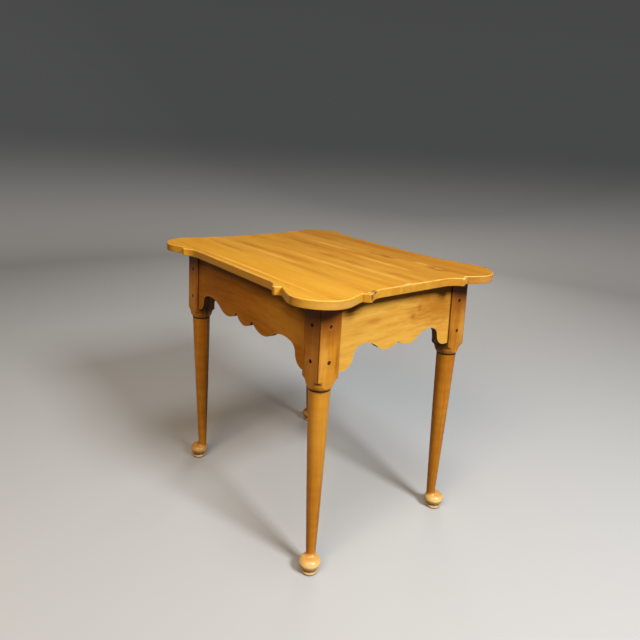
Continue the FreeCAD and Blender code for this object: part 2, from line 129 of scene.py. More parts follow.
def mixed(tree, share, first, second):
    """Two colours mixed by a share."""
    inputs = {0: share, 6: first, 7: second}
    return add_node(tree, "ShaderNodeMix", inputs, data_type="RGBA").outputs[2]


def noise(tree, place, stretch, seed, detail=2.0, roughness=0.5):
    """A noise that is stretched along the grain, as a value and a colour."""
    stretched = calc_vector(tree, "MULTIPLY", place, stretch)
    inputs = {"Vector": stretched, "W": seed, "Scale": 1.0, "Detail": detail, "Roughness": roughness}
    return add_node(tree, "ShaderNodeTexNoise", inputs, noise_dimensions="4D").outputs


def new_group(name, kind, inputs, outputs):
    """A node group with named sockets, with its incoming sockets and its closing node's inputs."""
    group = bpy.data.node_groups.new(name, kind)
    for sockets, direction in ((inputs, "INPUT"), (outputs, "OUTPUT")):
        for socket, form in sockets.items():
            group.interface.new_socket(socket, in_out=direction, socket_type=f"NodeSocket{form}")
    given = group.nodes.new("NodeGroupInput").outputs
    result = group.nodes.new("NodeGroupOutput").inputs
    return group, given, result


# Growth rings about a heart line that runs along X, with fibre, broad bands, flecks and curl
drift_stretch = (2.6, 9.0, 9.0)
fibre_stretch = (16, 620, 620)
fleck_stretch = (26, 230, 230)
curl_stretch = (60, 14, 14)
year_scale = 0.37
year_sway = 2.2
figure, given, result = new_group(
    "wood_figure", "ShaderNodeTree",
    {"Place": "Vector", "Heart": "Vector", "Ring Width": "Float", "Wander": "Float",
     "Band Stretch": "Vector", "Seed": "Float"},
    {"Rings": "Float", "Fibre": "Float", "Bands": "Float", "Flecks": "Float", "Curl": "Float"})
drift = noise(figure, given["Place"], drift_stretch, given["Seed"])[1]
drift = calc_vector(figure, "SUBTRACT", drift, (0.5, 0.5, 0.5))
drift = add_node(figure, "ShaderNodeVectorMath", {0: drift, "Scale": given["Wander"]},
                 operation="SCALE").outputs[0]
from_heart = calc_vector(figure, "SUBTRACT", given["Place"], given["Heart"])
from_heart = calc_vector(figure, "ADD", from_heart, drift)
across_grain = calc_vector(figure, "MULTIPLY", from_heart, (0, 1, 1))
radius = add_node(figure, "ShaderNodeVectorMath", {0: across_grain}, operation="LENGTH").outputs["Value"]
years = calc(figure, "DIVIDE", radius, given["Ring Width"])
good_years = add_node(figure, "ShaderNodeTexNoise", {"W": years, "Scale": year_scale},
                      noise_dimensions="1D").outputs[0]
years = calc(figure, "ADD", years, calc(figure, "MULTIPLY", good_years, year_sway))
season = calc(figure, "FRACT", years)
summer = eased(figure, season, 0.10, 0.82)
winter = eased(figure, season, 0.84, 1.0, 1.0, 0.0)
fibre = noise(figure, from_heart, fibre_stretch, given["Seed"], 3.0, 0.6)[0]
bands = noise(figure, from_heart, given["Band Stretch"], given["Seed"], 4.0, 0.55)[0]
flecks = noise(figure, from_heart, fleck_stretch, given["Seed"], 3.0, 0.55)[0]
curl = noise(figure, given["Place"], curl_stretch, given["Seed"], 2.0, 0.4)[0]
figure.links.new(calc(figure, "MULTIPLY", summer, winter), result["Rings"])
figure.links.new(fibre, result["Fibre"])
figure.links.new(bands, result["Bands"])
figure.links.new(flecks, result["Flecks"])
figure.links.new(curl, result["Curl"])

# A stain that sinks deeper into the late wood, as a colour, with the fibre's height under the varnish
ring_relief = 0.4
stain, given, result = new_group(
    "honey_stain", "ShaderNodeTree",
    {"Rings": "Float", "Fibre": "Float", "Bands": "Float", "Flecks": "Float", "Curl": "Float",
     "Pale": "Color", "Honey": "Color", "Late": "Color",
     "Ring Depth": "Float", "Curl Depth": "Float"},
    {"Color": "Color", "Height": "Float", "Roughness": "Float"})
stained = mixed(stain, eased(stain, given["Bands"], 0.30, 0.70), given["Pale"], given["Honey"])
ring_share = calc(stain, "MULTIPLY", given["Rings"], eased(stain, given["Flecks"], 0.25, 0.75, 0.35, 1.0))
stained = mixed(stain, calc(stain, "MULTIPLY", ring_share, given["Ring Depth"]), stained, given["Late"])
curl_share = calc(stain, "MULTIPLY", eased(stain, given["Curl"], 0.35, 0.65), given["Curl Depth"])
stained = mixed(stain, curl_share, stained, given["Late"])
stained = mixed(stain, eased(stain, given["Flecks"], 0.55, 0.80, 0.0, 0.35), stained, given["Late"])
stained = mixed(stain, eased(stain, given["Fibre"], 0.54, 0.80, 0.0, 0.30), stained, given["Late"])
stain.links.new(stained, result["Color"])
ridges = calc(stain, "ADD", given["Fibre"], calc(stain, "MULTIPLY", given["Rings"], ring_relief))
stain.links.new(ridges, result["Height"])
stain.links.new(eased(stain, given["Bands"], 0.3, 0.7, 0.34, 0.44), result["Roughness"])

# Arrises turned paler, partly as wear and partly as a painted highlight; hollows, creases and joints
# darkened with painted shade where ambient occlusion finds them
patch_stretch = (30, 30, 30)
hollow_reach = 0.010
arris_width = 0.0022
scuff_roughness = 0.06
arris_rub_and_hollow_shade, given, result = new_group(
    "arris_rub_and_hollow_shade", "ShaderNodeTree",
    {"Color": "Color", "Roughness": "Float", "Place": "Vector", "Hollow Shade": "Color", "Worn And Highlight": "Color",
     "Hollow Shade Depth": "Float", "Wear And Highlight": "Float", "Rounded": "Float", "Seed": "Float"},
    {"Color": "Color", "Roughness": "Float"})
patches = noise(arris_rub_and_hollow_shade, given["Place"], patch_stretch, given["Seed"], 3.0, 0.6)[0]
# Painted shade: darker towards the dark tone wherever ambient occlusion finds a hollow, a crease or a joint
hollow = add_node(arris_rub_and_hollow_shade, "ShaderNodeAmbientOcclusion", {"Distance": hollow_reach}, samples=8)
hollow = eased(arris_rub_and_hollow_shade, hollow.outputs["AO"], 0.88, 0.42)
shaded_share = calc(arris_rub_and_hollow_shade, "MULTIPLY", hollow, given["Hollow Shade Depth"])
shaded = mixed(arris_rub_and_hollow_shade, shaded_share, given["Color"], given["Hollow Shade"])
# Paler arrises, and on the top its rounded arrises: partly wear, partly a painted highlight
rounded = add_node(arris_rub_and_hollow_shade, "ShaderNodeBevel", {"Radius": arris_width}, samples=6).outputs[0]
facing = add_node(arris_rub_and_hollow_shade, "ShaderNodeNewGeometry").outputs["Normal"]
same_way = add_node(arris_rub_and_hollow_shade, "ShaderNodeVectorMath", {0: rounded, 1: facing}, operation="DOT_PRODUCT")
arris = eased(arris_rub_and_hollow_shade, same_way.outputs["Value"], 0.995, 0.90)
upward = calc(arris_rub_and_hollow_shade, "ABSOLUTE", add_node(arris_rub_and_hollow_shade, "ShaderNodeSeparateXYZ", {0: facing}).outputs["Z"])
turning = eased(arris_rub_and_hollow_shade, upward, 0.10, 0.45)
turning = calc(arris_rub_and_hollow_shade, "MULTIPLY", turning, eased(arris_rub_and_hollow_shade, upward, 0.995, 0.90))
arris = calc(arris_rub_and_hollow_shade, "MAXIMUM", arris, calc(arris_rub_and_hollow_shade, "MULTIPLY", turning, given["Rounded"]))
arris = calc(arris_rub_and_hollow_shade, "MULTIPLY", arris, eased(arris_rub_and_hollow_shade, hollow, 0.02, 0.25, 1.0, 0.0))
worn_and_highlight_share = calc(arris_rub_and_hollow_shade, "MULTIPLY", arris, eased(arris_rub_and_hollow_shade, patches, 0.35, 0.65, 0.25, 1.0))
worn_and_highlight_share = calc(arris_rub_and_hollow_shade, "MULTIPLY", worn_and_highlight_share, given["Wear And Highlight"])
arris_rub_and_hollow_shade.links.new(mixed(arris_rub_and_hollow_shade, worn_and_highlight_share, shaded, given["Worn And Highlight"]), result["Color"])
scuffed = calc(arris_rub_and_hollow_shade, "MULTIPLY", eased(arris_rub_and_hollow_shade, patches, 0.45, 0.75), scuff_roughness)
arris_rub_and_hollow_shade.links.new(calc(arris_rub_and_hollow_shade, "ADD", given["Roughness"], scuffed), result["Roughness"])

# A knot, a streak, a glue line, or a patch of painted shade or light: a ragged ellipsoid of another colour
# in the wood
ragged_stretch = (32, 170, 170)
ragged_seed = 4.0
mark_group, given, result = new_group(
    "mark", "ShaderNodeTree",
    {"Place": "Vector", "Grain": "Vector", "Color": "Color", "Centre": "Vector", "Reach": "Vector",
     "Mark": "Color", "Depth": "Float"},
    {"Color": "Color"})
ragged = noise(mark_group, given["Grain"], ragged_stretch, ragged_seed)[1]
ragged = calc_vector(mark_group, "SUBTRACT", ragged, (0.5, 0.5, 0.5))
offset = calc_vector(mark_group, "SUBTRACT", given["Place"], given["Centre"])
offset = calc_vector(mark_group, "ADD", calc_vector(mark_group, "DIVIDE", offset, given["Reach"]), ragged)
distance = add_node(mark_group, "ShaderNodeVectorMath", {0: offset}, operation="LENGTH").outputs["Value"]
mark_share = calc(mark_group, "MULTIPLY", eased(mark_group, distance, 1.0, 0.1), given["Depth"])
mark_group.links.new(mixed(mark_group, mark_share, given["Color"], given["Mark"]), result["Color"])

# A level band of another tone all round a leg, with soft edges
band_group, given, result = new_group(
    "turned_band", "ShaderNodeTree",
    {"Place": "Vector", "Color": "Color", "Height": "Float", "Reach": "Float", "Band": "Color",
     "Depth": "Float"},
    {"Color": "Color"})
height = add_node(band_group, "ShaderNodeSeparateXYZ", {0: given["Place"]}).outputs["Z"]
distance = calc(band_group, "ABSOLUTE", calc(band_group, "SUBTRACT", height, given["Height"]))
band_share = eased(band_group, calc(band_group, "DIVIDE", distance, given["Reach"]), 1.0, 0.1)
band_share = calc(band_group, "MULTIPLY", band_share, given["Depth"])
band_group.links.new(mixed(band_group, band_share, given["Color"], given["Band"]), result["Color"])

# A dark line along the outer corner of each leaning post
line_edges = (0.0021, 0.0010)
line_fade = 0.004
uneven_stretch = (60, 60, 22)
uneven_seed = 8.0
corner_group, given, result = new_group(
    "post_corner", "ShaderNodeTree",
    {"Place": "Vector", "Color": "Color", "Line": "Color", "Depth": "Float"},
    {"Color": "Color"})
height = add_node(corner_group, "ShaderNodeSeparateXYZ", {0: given["Place"]}).outputs["Z"]
drop = calc(corner_group, "MULTIPLY", calc(corner_group, "SUBTRACT", post_top, height), post_splay)
corner = calc_vector(corner_group, "ADD", drop, post_corner)
offset = calc_vector(corner_group, "ABSOLUTE", given["Place"])
offset = calc_vector(corner_group, "SUBTRACT", offset, corner)
offset = calc_vector(corner_group, "MULTIPLY", offset, (1, 1, 0))
distance = add_node(corner_group, "ShaderNodeVectorMath", {0: offset}, operation="LENGTH").outputs["Value"]
uneven = noise(corner_group, given["Place"], uneven_stretch, uneven_seed)[0]
line = eased(corner_group, distance, *line_edges)
line = calc(corner_group, "MULTIPLY", line, eased(corner_group, uneven, 0.30, 0.60, 0.45, 1.0))
above_foot = eased(corner_group, height, post_foot - line_fade, post_foot + line_fade)
line = calc(corner_group, "MULTIPLY", line, above_foot)
line = calc(corner_group, "MULTIPLY", line, given["Depth"])
corner_group.links.new(mixed(corner_group, line, given["Color"], given["Line"]), result["Color"])


def varnished_wood(name, seed, heart, colours, ring_width, wander, bands, turn=(0, 0, 0), ring_depth=0.3,
                   curl_depth=0.0, marks=(), wear_and_highlight=0.5, rounded=0.0, corner_line=0.0, gloss=0.25,
                   turned_bands=(), foot_gloss=0.0):
    """A stained and varnished wood whose grain runs along X once its pattern is turned."""
    material = bpy.data.materials.new(name)
    material.use_nodes = True
    tree = material.node_tree
    skin = tree.nodes["Principled BSDF"]
    place = add_node(tree, "ShaderNodeTexCoord").outputs["Object"]
    turned = add_node(tree, "ShaderNodeMapping", {"Vector": place, "Rotation": turn}).outputs[0]
    grain = add_node(tree, "ShaderNodeGroup", {
        "Place": turned, "Heart": heart, "Ring Width": ring_width, "Wander": wander, "Band Stretch": bands,
        "Seed": seed}, node_tree=figure)
    inputs = {socket: grain.outputs[socket] for socket in ("Rings", "Fibre", "Bands", "Flecks", "Curl")}
    inputs |= {socket: tint(code) for socket, code in zip(("Pale", "Honey", "Late"), colours)}
    inputs |= {"Ring Depth": ring_depth, "Curl Depth": curl_depth}
    stained = add_node(tree, "ShaderNodeGroup", inputs, node_tree=stain)
    colour = stained.outputs["Color"]
    for centre, reach, code, depth in marks:
        inputs = {"Place": place, "Grain": turned, "Color": colour, "Centre": centre, "Reach": reach}
        inputs |= {"Mark": tint(code), "Depth": depth}
        colour = add_node(tree, "ShaderNodeGroup", inputs, node_tree=mark_group).outputs[0]
    for height, reach, code, depth in turned_bands:
        inputs = {"Place": place, "Color": colour, "Height": height, "Reach": reach, "Band": tint(code),
                  "Depth": depth}
        colour = add_node(tree, "ShaderNodeGroup", inputs, node_tree=band_group).outputs[0]
    used = add_node(tree, "ShaderNodeGroup", {
        "Color": colour, "Roughness": stained.outputs["Roughness"], "Place": place, "Hollow Shade": tint(glaze_and_shade),
        "Worn And Highlight": tint(worn_and_highlight_honey), "Hollow Shade Depth": hollow_shade_depth, "Wear And Highlight": wear_and_highlight, "Rounded": rounded,
        "Seed": seed}, node_tree=arris_rub_and_hollow_shade)
    colour = used.outputs["Color"]
    if corner_line:
        inputs = {"Place": place, "Color": colour, "Line": tint(glaze_and_shade), "Depth": corner_line}
        colour = add_node(tree, "ShaderNodeGroup", inputs, node_tree=corner_group).outputs[0]
    tree.links.new(colour, skin.inputs["Base Color"])
    tree.links.new(used.outputs["Roughness"], skin.inputs["Roughness"])
    relief = {"Height": stained.outputs["Height"], "Strength": grain_strength, "Distance": grain_relief}
    tree.links.new(add_node(tree, "ShaderNodeBump", relief).outputs[0], skin.inputs["Normal"])
    skin.inputs["Specular IOR Level"].default_value = gloss
    skin.inputs["Coat Weight"].default_value = gloss / 2
    skin.inputs["Coat Roughness"].default_value = varnish_roughness
    if foot_gloss:
        height = add_node(tree, "ShaderNodeSeparateXYZ", {0: place}).outputs["Z"]
        facing = add_node(tree, "ShaderNodeNewGeometry").outputs["Normal"]
        upward = add_node(tree, "ShaderNodeSeparateXYZ", {0: facing}).outputs["Z"]
        polished = calc(tree, "MULTIPLY", eased(tree, height, *foot_shine), eased(tree, upward, 0.0, 0.5))
        tree.links.new(eased(tree, polished, 0.0, 1.0, gloss / 2, foot_gloss), skin.inputs["Coat Weight"])
        skin.inputs["Coat Roughness"].default_value = foot_roughness
        skin.inputs["Coat IOR"].default_value = foot_varnish_ior
    return material


def finish_node(name, material):
    """Gives a piece of the frame its finish."""
    slot = nodes[name].material_slots[0]
    slot.link = "OBJECT"
    slot.material = material


# Bands of tone round each leg: painted shade on the upper post, painted shadow under the top, painted
# shadow in the quirk, a painted highlight on the ring at the foot and painted shade in the neck under the
# pad: height, reach, tone and depth
leg_turned_bands = (
    (post_top, 0.13, post_shade_brown, 0.75),
    (post_top, 0.020, shadow_brown, 0.75),
    (0.4684, 0.0030, glaze_and_shade, 0.9),
    (0.003, 0.007, ring_highlight, 0.85),
    (0.0112, 0.0038, glaze_and_shade, 0.85),
)
# The pads on the right, where the light falls, are paler than those on the left: painted light
lit_pad_depths = {"leg_front_right": 0.9, "leg_front_left": 0.4,
              "leg_back_right": 0.9, "leg_back_left": 0.4}
shaft_bands = {"leg_front_right": [(0.38, 0.20, shaft_honey, 0.4)]}
for number, name in enumerate(sorted(leg_colours)):
    low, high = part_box(name)
    middle = (low + high) / 2
    heart = (0, middle.y - leg_heart_side, -middle.x + leg_heart_side)
    side = Vector((math.copysign(1, middle.x), math.copysign(1, middle.y), 1))
    # Painted shade and light on each post: painted shade on the inner faces and high on the end face,
    # painted light lower on the end and front faces, and painted shadow under the square corner and in the
    # quirk: centre, reach, tone and depth
    marks = [
        (side * Vector((0.2850, 0.1780, 0.5150)), (0.050, 0.016, 0.075), inner_shade_brown, 0.85),
        (side * Vector((0.2580, 0.2050, 0.5150)), (0.016, 0.050, 0.075), inner_shade_brown, 0.85),
        (side * Vector((0.3105, 0.2050, 0.6250)), (0.009, 0.045, 0.065), post_shade_brown, 0.70),
        (side * Vector((0.3125, 0.2200, 0.5450)), (0.008, 0.018, 0.075), lit_end_honey, 0.40),
        (side * Vector((0.2880, 0.2325, 0.5300)), (0.030, 0.007, 0.060), lit_lower_honey, 0.40),
        (side * Vector((0.3118, 0.2323, 0.4900)), (0.017, 0.017, 0.0072), glaze_and_shade, 1.0),
        (side * Vector((0.3035, 0.2240, 0.4674)), (0.024, 0.024, 0.0062), glaze_and_shade, 1.0),
    ]
    pad_band = (0.024, 0.028, pad_honey_and_highlight, lit_pad_depths[name])
    tone_bands = [*shaft_bands.get(name, []), pad_band, *leg_turned_bands]
    leg_wood = varnished_wood(
        f"{name}_wood", leg_seed + number, heart, leg_colours[name], leg_ring_width, leg_wander, leg_bands,
        grain_up, ring_depth=0.22, curl_depth=0.22, marks=marks, corner_line=0.85, gloss=0.12,
        turned_bands=tone_bands, foot_gloss=1.0)
    finish_node(name, leg_wood)

# Aprons: four boards of the same wood between the posts, sawn to scallops along their lower edges.
# Each has a tenon at both ends; the sawn arrises were eased by hand before the boards were stained.
arris_round = 0.0009
arris_steps = 2
arris_angle = math.radians(40)
flat_angle = math.radians(0.4)
seam_gap = 0.00001
slot_room = 0.035


def eased_board(node_name, board_name):
    """A copy of an apron whose showing arrises are rounded."""
    mesh = nodes[node_name].data.copy()
    mesh.name = board_name
    mesh.materials.clear()
    board = bpy.data.objects.new(board_name, mesh)
    bpy.context.scene.collection.objects.link(board)
    low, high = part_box(node_name)
    form = bmesh.new()
    form.from_mesh(mesh)
    bmesh.ops.remove_doubles(form, verts=form.verts, dist=seam_gap)
    bmesh.ops.dissolve_limit(form, angle_limit=flat_angle, verts=form.verts, edges=form.edges)
    showing = []
    for edge in form.edges:
        middle = (edge.verts[0].co + edge.verts[1].co) / 2
        under = middle.z < high.z - slot_room
        if under and edge.is_manifold and edge.calc_face_angle(0) > arris_angle:
            showing.append(edge)
    bmesh.ops.bevel(form, geom=showing, offset=arris_round, segments=arris_steps, profile=0.5,
                    affect="EDGES", clamp_overlap=True)
    for face in form.faces:
        face.smooth = False
    form.to_mesh(mesh)
    form.free()
    return board


# Painted shade on the aprons' sawn edges: every face that does not look along the board's thickness
sawn_shade_brown = "#34180A"
sawn_shade_depth = 0.85
sawn_shade_group, given, result = new_group(
    "sawn_face_shade", "ShaderNodeTree",
    {"Color": "Color", "Across": "Vector", "Dark": "Color", "Depth": "Float"},
    {"Color": "Color"})
facing = add_node(sawn_shade_group, "ShaderNodeNewGeometry").outputs["Normal"]
face_on = add_node(sawn_shade_group, "ShaderNodeVectorMath", {0: facing, 1: given["Across"]},
                   operation="DOT_PRODUCT").outputs["Value"]
sawn_shade_share = eased(sawn_shade_group, calc(sawn_shade_group, "ABSOLUTE", face_on), 0.75, 0.35)
sawn_shade_share = calc(sawn_shade_group, "MULTIPLY", sawn_shade_share, given["Depth"])
sawn_shade_group.links.new(mixed(sawn_shade_group, sawn_shade_share, given["Color"], given["Dark"]), result["Color"])


def shade_sawn_faces(wood, across):
    """Puts painted shade over a wood's colour on its sawn edges, the faces that turn away from a direction.
    """
    tree = wood.node_tree
    skin_colour = tree.nodes["Principled BSDF"].inputs["Base Color"]
    inputs = {"Color": skin_colour.links[0].from_socket, "Across": across, "Dark": tint(sawn_shade_brown),
              "Depth": sawn_shade_depth}
    sawn = add_node(tree, "ShaderNodeGroup", inputs, node_tree=sawn_shade_group)
    tree.links.new(sawn.outputs["Color"], skin_colour)


apron_ring_width = 0.009
apron_wander = 0.05
apron_bands = (7.0, 55.0, 55.0)
grain_back = (0, 0, math.radians(-90))
# The apron stains are lit and shaded copies of one stain: darker and redder on the front and back as
# painted shade, paler on the right end as painted light, between the two on the left end
shaded_apron_colours = ("#CE8A20", "#BA7412", "#8C4E0A")
lit_apron_colours = ("#F2BE56", "#E2A642", "#BE7420")
far_apron_colours = ("#E0A63C", "#D0902C", "#A8681C")
apron_shade = "#8C4E0A"
apron_gleam = "#E8AA44"
knot_fleck = "#A85C14"
end_shade = "#B8741E"
corner_shade = "#944A10"
grain_fleck = "#BC701E"
# Each apron: the turn of its grain, the way through it, its heart line, seed, stain and marks; besides the
# knots and flecks, the marks are patches of painted shade and light
apron_boards = {
    "apron_front": ((0, 0, 0), (0, 1, 0), (0, -0.19, 0.50), 21.0, shaded_apron_colours, (
        ((-0.16, -0.22, 0.60), (0.16, 0.05, 0.040), apron_shade, 0.45),
        ((0.18, -0.22, 0.585), (0.18, 0.05, 0.070), apron_gleam, 0.60),
    )),
    "apron_back": ((0, 0, 0), (0, 1, 0), (0, 0.19, 0.52), 22.0, shaded_apron_colours, ()),
    "apron_right": (grain_back, (1, 0, 0), (0, -0.27, 0.52), 23.0, lit_apron_colours, (
        ((0.306, 0.044, 0.595), (0.05, 0.012, 0.010), knot_fleck, 0.6),
        ((0.306, 0.064, 0.612), (0.05, 0.010, 0.014), knot_fleck, 0.55),
        ((0.306, 0.125, 0.610), (0.05, 0.150, 0.075), end_shade, 0.85),
        ((0.306, -0.150, 0.640), (0.05, 0.070, 0.024), corner_shade, 0.65),
        ((0.306, -0.083, 0.603), (0.05, 0.035, 0.010), grain_fleck, 0.5),
        ((0.306, -0.030, 0.625), (0.05, 0.050, 0.008), grain_fleck, 0.45),
    )),
    "apron_left": (grain_back, (1, 0, 0), (0, 0.27, 0.50), 24.0, far_apron_colours, ()),
}
# Painted shadow under the top, along the upper edge of every apron
under_top = ((0, 0, post_top), (10, 10, 0.024), shadow_brown, 0.85)
for name, (turn, across, heart, seed, colours, marks) in apron_boards.items():
    board = eased_board(name, f"{name}_board")
    wood = varnished_wood(
        f"{name}_wood", seed, heart, colours, apron_ring_width, apron_wander, apron_bands, turn,
        ring_depth=0.12, marks=[*marks, under_top], gloss=0.06)
    shade_sawn_faces(wood, across)
    board.data.materials.append(wood)
    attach(board, "root")
    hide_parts(name)

# Pegs: sixteen whittled hardwood pins driven through the tenons, two at each joint.
# Their end grain drank the stain, so they show nearly black on the posts.
peg_radius = 0.00475
peg_crown = 0.0004
peg_sides = 11
peg_seed = 7
peg_top_share = 0.7
peg_heart = (0.003, 0.001, 0)
peg_ring_count = 1300
peg_gloss = 0.05
pore_stretch = (2600, 2600, 260)
pore_strength = 0.3
pore_relief = 0.0002
peg_colours = ("#3C1404", "#2A0C02", "#180501")
red_peg = "#8A4210"
peg_names = [name for name in sorted(nodes) if name.startswith("peg_")]

pegs_tree, given, result = new_group(
    "driven_pegs", "GeometryNodeTree",
    {"Seats": "Geometry", "Radius": "Float", "Length": "Float", "Crown": "Float", "Sides": "Int",
     "Seed": "Int", "Wood": "Material"},
    {"Pegs": "Geometry"})
pin = add_node(pegs_tree, "GeometryNodeMeshCylinder", {
    "Vertices": given["Sides"], "Radius": given["Radius"], "Depth": given["Length"]})
crown = add_node(pegs_tree, "GeometryNodeExtrudeMesh", {
    "Mesh": pin.outputs["Mesh"], "Selection": pin.outputs["Top"], "Offset Scale": given["Crown"],
    "Individual": False})
crown = add_node(pegs_tree, "GeometryNodeScaleElements", {
    "Geometry": crown.outputs["Mesh"], "Selection": crown.outputs["Top"],
    "Scale": peg_top_share}).outputs[0]
drop = add_node(pegs_tree, "ShaderNodeMath", {0: given["Length"], 1: -0.5}, operation="MULTIPLY").outputs[0]
drop = add_node(pegs_tree, "ShaderNodeCombineXYZ", {"Z": drop}).outputs[0]
peg = add_node(pegs_tree, "GeometryNodeTransform", {"Geometry": crown, "Translation": drop}).outputs[0]
own_place = pegs_tree.nodes.new("GeometryNodeInputPosition").outputs[0]
peg = add_node(pegs_tree, "GeometryNodeStoreNamedAttribute", {
    "Geometry": peg, "Name": "peg_place", "Value": own_place}, data_type="FLOAT_VECTOR").outputs[0]
outward = add_node(pegs_tree, "GeometryNodeInputNamedAttribute", {"Name": "outward"},
                   data_type="FLOAT_VECTOR")
aimed = add_node(pegs_tree, "FunctionNodeAlignRotationToVector", {"Vector": outward.outputs[0]}, axis="Z")
spin = add_node(pegs_tree, "FunctionNodeRandomValue", {"Max": math.tau, "Seed": given["Seed"]},
                data_type="FLOAT")
spin = add_node(pegs_tree, "FunctionNodeAxisAngleToRotation", {"Angle": spin.outputs["Value"]})
turned = add_node(pegs_tree, "FunctionNodeRotateRotation", {
    "Rotation": aimed.outputs[0], "Rotate By": spin.outputs[0]}, rotation_space="LOCAL")
driven = add_node(pegs_tree, "GeometryNodeInstanceOnPoints", {
    "Points": given["Seats"], "Instance": peg, "Rotation": turned.outputs[0]})
tone = add_node(pegs_tree, "FunctionNodeRandomValue", {"Seed": given["Seed"]}, data_type="FLOAT")
driven = add_node(pegs_tree, "GeometryNodeStoreNamedAttribute", {
    "Geometry": driven.outputs[0], "Name": "peg_tone", "Value": tone.outputs["Value"]}, data_type="FLOAT",
    domain="INSTANCE")
driven = add_node(pegs_tree, "GeometryNodeRealizeInstances", {0: driven.outputs[0]})
driven = add_node(pegs_tree, "GeometryNodeSetMaterial", {0: driven.outputs[0], "Material": given["Wood"]})
pegs_tree.links.new(driven.outputs[0], result["Pegs"])

seats = bpy.data.meshes.new("peg_seats")
peg_boxes = [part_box(name) for name in peg_names]
peg_lengths = [max(high - low) for low, high in peg_boxes]
peg_length = sum(peg_lengths) / len(peg_lengths) - peg_crown
seat_places = []
seat_normals = []
for name, (low, high) in zip(peg_names, peg_boxes):
    side = name.split("_")[1]
    normal = {"front": Vector((0, -1, 0)), "back": Vector((0, 1, 0)), "right": Vector((1, 0, 0)),
              "left": Vector((-1, 0, 0))}[side]
    normal = (normal + Vector((0, 0, post_splay))).normalized()
    seat_places.append((low + high) / 2 + normal * (peg_length - peg_crown) / 2)
    seat_normals.append(normal)
seats.from_pydata(seat_places, [], [])
outward = seats.attributes.new("outward", "FLOAT_VECTOR", "POINT")
for number, normal in enumerate(seat_normals):
    outward.data[number].vector = normal
peg_wood = bpy.data.materials.new("peg_wood")
peg_wood.use_nodes = True
tree = peg_wood.node_tree
skin = tree.nodes["Principled BSDF"]
peg_place = add_node(tree, "ShaderNodeAttribute", attribute_name="peg_place").outputs["Vector"]
across_peg = calc_vector(tree, "MULTIPLY", peg_place, (1, 1, 0))
ring_place = calc_vector(tree, "ADD", across_peg, peg_heart)
rings = add_node(tree, "ShaderNodeVectorMath", {0: ring_place}, operation="LENGTH").outputs["Value"]
rings = calc(tree, "FRACT", calc(tree, "MULTIPLY", rings, peg_ring_count))
pores = noise(tree, peg_place, pore_stretch, 2.0)[0]
colour = mixed(tree, calc(tree, "MULTIPLY", rings, 0.6), tint(peg_colours[0]), tint(peg_colours[1]))
colour = mixed(tree, eased(tree, pores, 0.45, 0.70), colour, tint(peg_colours[2]))
tone = add_node(tree, "ShaderNodeAttribute", attribute_name="peg_tone").outputs["Fac"]
colour = mixed(tree, eased(tree, tone, 0.35, 1.0, 0.0, 0.5), colour, tint(red_peg))
tree.links.new(colour, skin.inputs["Base Color"])
tree.links.new(eased(tree, pores, 0.3, 0.7, 0.42, 0.62), skin.inputs["Roughness"])
relief = {"Height": pores, "Strength": pore_strength, "Distance": pore_relief}
tree.links.new(add_node(tree, "ShaderNodeBump", relief).outputs[0], skin.inputs["Normal"])
skin.inputs["Specular IOR Level"].default_value = peg_gloss


def grown(name, mesh, tree, sizes):
    """The plain mesh that a node tree grows from a mesh, as a new piece."""
    seed_object = bpy.data.objects.new(f"{name}_seats", mesh)
    bpy.context.scene.collection.objects.link(seed_object)
    modifier = seed_object.modifiers.new("grow", "NODES")
    modifier.node_group = tree
    for socket, size in sizes.items():
        modifier[tree.interface.items_tree[socket].identifier] = size
    graph = bpy.context.evaluated_depsgraph_get()
    grown_mesh = bpy.data.meshes.new_from_object(seed_object.evaluated_get(graph), depsgraph=graph)
    bpy.data.objects.remove(seed_object)
    grown_mesh.name = name
    piece = bpy.data.objects.new(name, grown_mesh)
    bpy.context.scene.collection.objects.link(piece)
    return piece


pegs = grown("pegs", seats, pegs_tree, {
    "Radius": peg_radius, "Length": peg_length, "Crown": peg_crown, "Sides": peg_sides, "Seed": peg_seed,
    "Wood": peg_wood})
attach(pegs, "root")
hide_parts(*peg_names)

# Top: five boards glued edge to edge, with the porringer outline sawn and its arrises rounded after.
# Their grain runs along the table, and each board has its own stain, a little darker from the front board
# to the back one.
board_ring_width = 0.010
board_wander = 0.07
board_bands = (1.8, 20.0, 20.0)
glue_line = 0.0005
dark_streak = "#A5661F"
light_streak = "#F6C25C"
knot_brown = "#8A4A10"
# Pale of the near lobes' edges: end grain, and a painted highlight
end_grain_and_highlight = "#E0B880"
# Painted glints on the top's arrises
painted_glint = "#FFF0D0"
nub_dark = "#401A08"
nub_brown = "#6E300C"
edge_dash = "#6A3410"
seam_depth = 0.35
# Knots that cross a joint or stand near one, and painted glints on the arrises: centre, reach, tone and
# depth
nub_knots_and_glint = (
    ((0.351, -0.1245, 0.686), (0.012, 0.015, 0.010), nub_dark, 1.0),
    ((0.358, -0.1420, 0.678), (0.012, 0.008, 0.010), nub_brown, 0.9),
    ((0.3506, -0.1414, 0.686), (0.005, 0.005, 0.004), painted_glint, 0.7),
)
far_knots_and_glint = (
    ((0.052, 0.157, 0.686), (0.050, 0.020, 0.03), knot_brown, 0.75),
    ((0.050, 0.160, 0.686), (0.030, 0.009, 0.03), light_streak, 0.6),
    ((0.100, 0.151, 0.686), (0.040, 0.015, 0.03), knot_brown, 0.7),
    ((0.205, 0.170, 0.686), (0.050, 0.014, 0.03), light_streak, 0.5),
    ((0.262, 0.160, 0.686), (0.046, 0.024, 0.03), knot_brown, 0.8),
    ((0.262, 0.164, 0.686), (0.024, 0.010, 0.03), light_streak, 0.6),
    ((0.360, 0.1425, 0.685), (0.0045, 0.0050, 0.005), painted_glint, 0.8),
)
